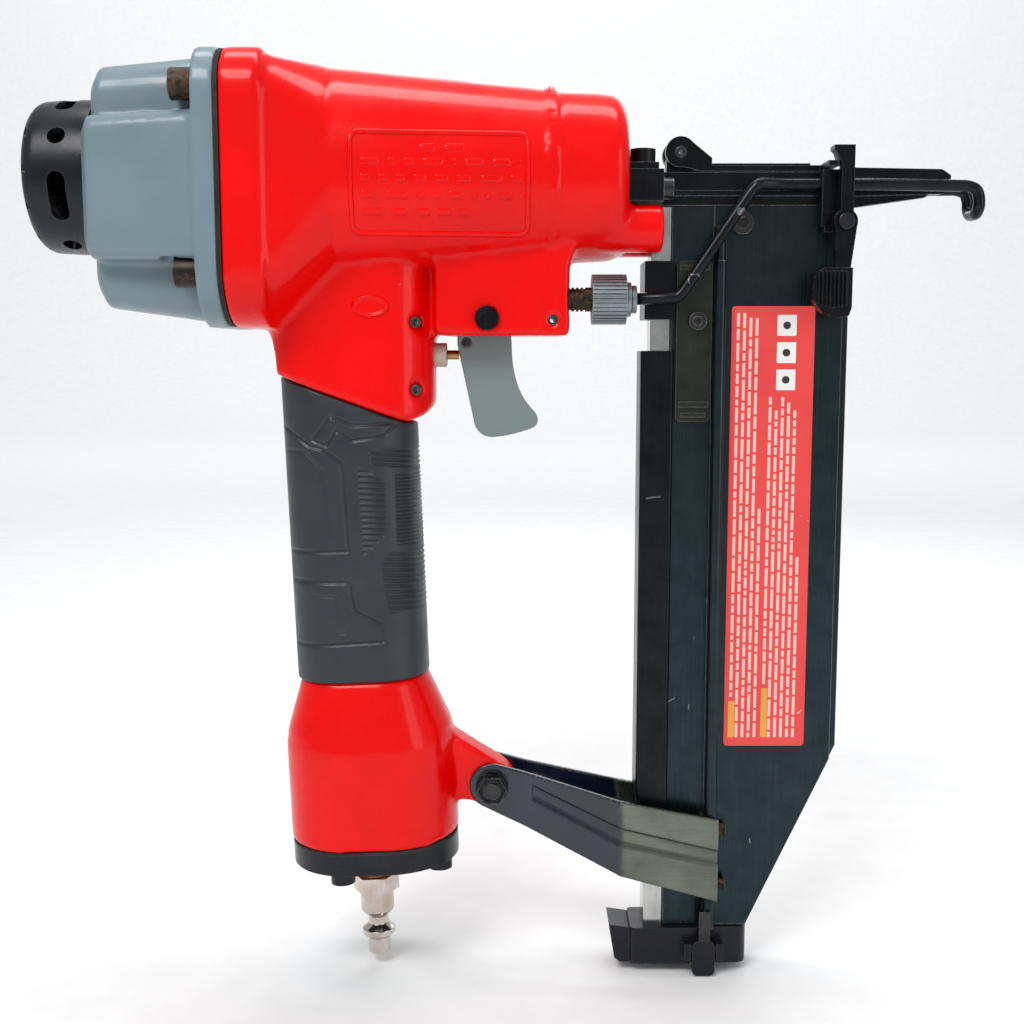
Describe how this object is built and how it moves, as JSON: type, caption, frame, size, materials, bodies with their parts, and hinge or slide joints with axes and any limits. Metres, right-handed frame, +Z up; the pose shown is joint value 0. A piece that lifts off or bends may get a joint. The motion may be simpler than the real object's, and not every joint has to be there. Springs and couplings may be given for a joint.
{
  "type": "pneumatic flooring nailer",
  "caption": "Hand-held pneumatic nailer with pistol grip, straight magazine, bent-wire nose contact and quick-release nose door.",
  "frame": {"origin": "the nail exit, on the drive line", "axes": "+X is the drive direction, +Z is up, the handle and magazine hang towards -Z, the labelled side faces -Y"},
  "size_m": [0.3195, 0.079, 0.3163],
  "materials": {
    "red_paint": "glossy paint with chips",
    "grey_paint": "satin paint",
    "trigger_paint": "satin paint",
    "grip_rubber": "moulded, matt",
    "gasket": "matt",
    "seal_rubber": "matt",
    "bumper_rubber": "matt polyurethane",
    "black_plastic": "moulded, satin",
    "white_plastic": "satin, grubby",
    "black_steel": "black oxide, worn at edges",
    "dark_steel": "dark oxide",
    "bright_steel": "polished",
    "spring_steel": "drawn wire",
    "zinc_steel": "zinc plated, dull",
    "rusty_steel": "rusted",
    "olive_steel": "olive-black phosphate",
    "arm_steel": "gloss black",
    "black_anodised": "black anodised, brushed",
    "bare_aluminium": "machined",
    "brass": "dull",
    "chrome_plate": "polished",
    "copper": "dull copper",
    "label_vinyl": "printed vinyl"
  },
  "bodies": {
    "housing": {"body_casting": "red_paint", "rubber_grip": "grip_rubber", "cylinder_cap": "grey_paint", "cap_gasket": "gasket", "cap_screws": "rusty_steel", "deflector_screw": "dark_steel", "cylinder_sleeve": "bare_aluminium", "sleeve_rings": "seal_rubber", "bumper": "bumper_rubber", "head_valve_spring": "spring_steel", "trigger_valve_body": "white_plastic", "valve_spring": "spring_steel", "trigger_pivot_screw": "black_steel", "roll_pins": "dark_steel", "contact_spring": "spring_steel", "nose_body": "black_steel", "nose_screws": "dark_steel", "nose_clamp_screws": "dark_steel", "door_pin": "dark_steel", "wire_guide": "black_steel", "latch_pin": "dark_steel", "magazine_channel": "black_anodised", "rail_cover": "black_steel", "rail_guide": "black_steel", "side_plate_near": "olive_steel", "side_plate_far": "olive_steel", "side_plate_screws": "dark_steel", "magazine_screws": "dark_steel", "pusher_spring": "spring_steel", "near_arm": "arm_steel", "far_arm": "arm_steel", "arm_bolt": "dark_steel", "arm_nut": "dark_steel", "arm_screws": "rusty_steel", "handle_end_cap": "black_plastic", "end_cap_screws": "dark_steel", "end_cap_gasket": "gasket", "air_plug": "chrome_plate", "plug_seal": "copper", "label": "label_vinyl"},
    "driver": {"piston": "bare_aluminium", "piston_ring": "seal_rubber", "driver_blade": "bright_steel"},
    "head_valve": {"head_valve": "bare_aluminium"},
    "deflector": {"exhaust_deflector": "black_plastic"},
    "trigger": {"trigger": "trigger_paint", "trigger_lever_pin": "dark_steel"},
    "trigger_lever": {"trigger_lever": "bright_steel"},
    "valve_stem": {"valve_stem": "brass"},
    "contact": {"depth_stud": "rusty_steel", "contact_washer": "zinc_steel", "contact_wire": "black_steel"},
    "depth_knob": {"depth_knob": "zinc_steel"},
    "nose_door": {"nose_door": "black_steel"},
    "nose_latch": {"latch_lever": "black_steel"},
    "loading_rail": {"magazine_rail": "bright_steel", "magazine_cap": "black_plastic"},
    "rail_latch": {"magazine_latch": "black_plastic", "latch_tongue": "dark_steel"},
    "pusher": {"nail_pusher": "bright_steel"}
  },
  "joints": [
    {"name": "driver_stroke", "type": "slide", "parent": "housing", "child": "driver", "axis": [1, 0, 0], "range_m": [0, 0.098]},
    {"name": "head_valve_lift", "type": "slide", "parent": "housing", "child": "head_valve", "axis": [-1, 0, 0], "range_m": [0, 0.005], "stiffness_N_per_m": 2000, "springref_m": -0.002, "deforming": ["head_valve_spring"]},
    {"name": "deflector_spin", "type": "hinge", "parent": "housing", "child": "deflector", "pos_m": [-0.295, 0, 0], "axis": [1, 0, 0], "continuous": true},
    {"name": "trigger_pull", "type": "hinge", "parent": "housing", "child": "trigger", "pos_m": [-0.1563, 0, -0.0472], "axis": [0, 1, 0], "range_deg": [0, 12], "stiffness_Nm_per_rad": 1.5, "springref_deg": -8.59},
    {"name": "trigger_lever_tilt", "type": "hinge", "parent": "trigger", "child": "trigger_lever", "pos_m": [-0.1635, 0, -0.0551], "axis": [0, -1, 0], "range_deg": [0, 5]},
    {"name": "valve_stem_push", "type": "slide", "parent": "housing", "child": "valve_stem", "axis": [-1, 0, 0], "range_m": [0, 0.0027], "deforming": ["valve_spring"]},
    {"name": "contact_press", "type": "slide", "parent": "housing", "child": "contact", "axis": [-1, 0, 0], "range_m": [0, 0.007], "stiffness_N_per_m": 900, "springref_m": -0.006, "deforming": ["contact_spring"]},
    {"name": "depth_knob_spin", "type": "hinge", "parent": "contact", "child": "depth_knob", "pos_m": [-0.1157, -0.012, -0.041], "axis": [1, 0, 0], "continuous": true},
    {"name": "nose_latch_swing", "type": "hinge", "parent": "housing", "child": "nose_latch", "pos_m": [-0.039, -0.0178, -0.016], "axis": [0, 1, 0], "range_deg": [0, 50]},
    {"name": "nose_door_open", "type": "hinge", "parent": "housing", "child": "nose_door", "pos_m": [-0.0915, 0, 0.0081], "axis": [0, -1, 0], "range_deg": [0, 40]},
    {"name": "rail_pull", "type": "slide", "parent": "housing", "child": "loading_rail", "axis": [0, 0, -1], "range_m": [0, 0.17]},
    {"name": "rail_latch_press", "type": "hinge", "parent": "loading_rail", "child": "rail_latch", "pos_m": [-0.08, -0.01095, -0.27], "axis": [1, 0, 0], "range_deg": [0, 6], "stiffness_Nm_per_rad": 0.3, "springref_deg": -5.73},
    {"name": "pusher_slide", "type": "slide", "parent": "housing", "child": "pusher", "axis": [0, 0, -1], "range_m": [0, 0.15], "stiffness_N_per_m": 25, "springref_m": -0.06, "deforming": ["pusher_spring"]}
  ],
  "couplings": [
    {"joint": "valve_stem_push", "follows": "trigger_pull", "m_per_rad": 0.01241},
    {"joint": "nose_door_open", "follows": "nose_latch_swing", "ratio": 0.8}
  ]
}
